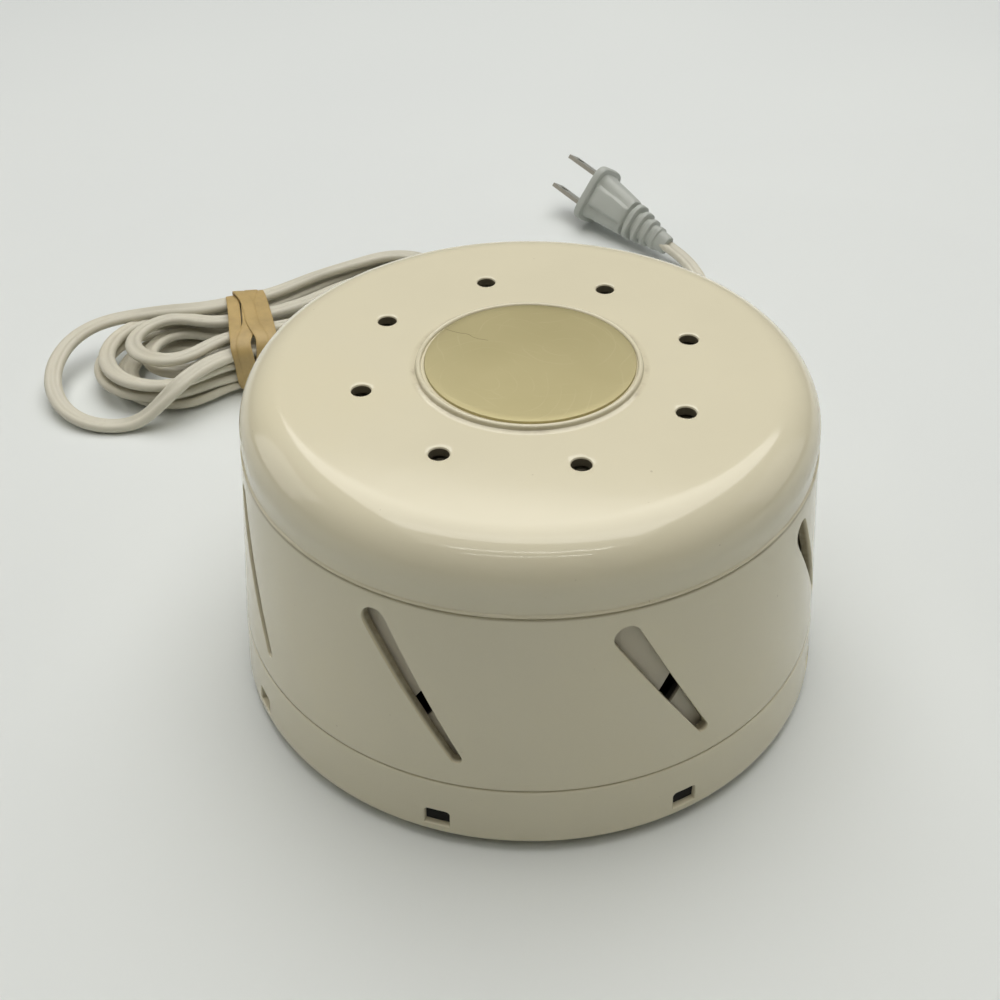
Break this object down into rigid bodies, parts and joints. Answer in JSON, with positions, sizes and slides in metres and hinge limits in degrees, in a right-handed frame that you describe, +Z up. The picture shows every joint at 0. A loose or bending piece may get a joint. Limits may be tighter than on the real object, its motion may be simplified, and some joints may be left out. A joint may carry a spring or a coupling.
{
  "type": "fan sound conditioner",
  "caption": "Round fan-driven white-noise machine: base ring with air notches, slotted turning collar, domed turning cap with holes and a foil disc, flat mains cord in a banded hank.",
  "frame": {"origin": "centre of the round housing, on the surface the feet rest on", "axes": "+Z up along the turning axis of the cap and collar, -Y towards the front, cord leaves towards +Y"},
  "size_m": [0.2345, 0.3178, 0.0824],
  "materials": {
    "housing": "cream moulded plastic, fine satin grain",
    "inner": "greyed cream moulded plastic",
    "feet": "black rubber",
    "screw_steel": "zinc-plated steel",
    "foil": "pale gold foil, satin, blank",
    "lamination": "stacked sheet steel",
    "copper": "enamelled copper",
    "nylon": "natural nylon",
    "bracket": "die-cast alloy",
    "bronze": "sintered bronze",
    "shaft_steel": "ground steel",
    "fibre": "brown fibre",
    "fan": "white moulded plastic",
    "switch": "black plastic",
    "terminal": "brass",
    "wire": "white insulation",
    "cord": "off-white vinyl, slightly glossy",
    "band": "tan natural rubber",
    "plug": "light grey vinyl",
    "blade": "nickel-plated brass"
  },
  "bodies": {
    "base": {"base_housing": "housing", "foot_pads": "feet", "housing_screws": "screw_steel", "inner_housing": "inner", "motor_laminations": "lamination", "shading_rings": "copper", "coil_bobbin": "nylon", "coil_winding": "copper", "bracket_upper": "bracket", "bracket_lower": "bracket", "sleeve_bearings": "bronze", "bracket_screws": "screw_steel", "bracket_nuts": "screw_steel", "motor_grommets": "feet", "motor_screws": "screw_steel", "switch_body": "switch", "switch_terminals": "terminal", "strain_relief": "cord", "lead_wires": "wire", "crimp_caps": "nylon", "cord_lead": "cord", "cord_tail": "cord", "cord_hank": "cord", "hank_band": "band", "plug_body": "plug", "plug_blades": "blade"},
    "collar": {"outer_collar": "housing"},
    "cap": {"top_cap": "housing", "cap_retainer": "screw_steel", "foil_disc": "foil"},
    "fan": {"rotor_core": "lamination", "motor_shaft": "shaft_steel", "thrust_washers": "fibre", "fan_wheel": "fan", "fan_clip": "screw_steel"},
    "rocker": {"switch_rocker": "switch"}
  },
  "joints": [
    {"name": "collar_turn", "type": "hinge", "parent": "base", "child": "collar", "pos_m": [0, 0, 0.0644], "axis": [0, 0, 1], "continuous": true},
    {"name": "cap_turn", "type": "hinge", "parent": "base", "child": "cap", "pos_m": [0, 0, 0.0756], "axis": [0, 0, 1], "continuous": true},
    {"name": "fan_spin", "type": "hinge", "parent": "base", "child": "fan", "pos_m": [0, 0, 0.0435], "axis": [0, 0, 1], "continuous": true},
    {"name": "switch_rock", "type": "hinge", "parent": "base", "child": "rocker", "pos_m": [0.04465, 0.05533, 0.0112], "axis": [0, 0, 1], "range_deg": [0, 18]}
  ]
}
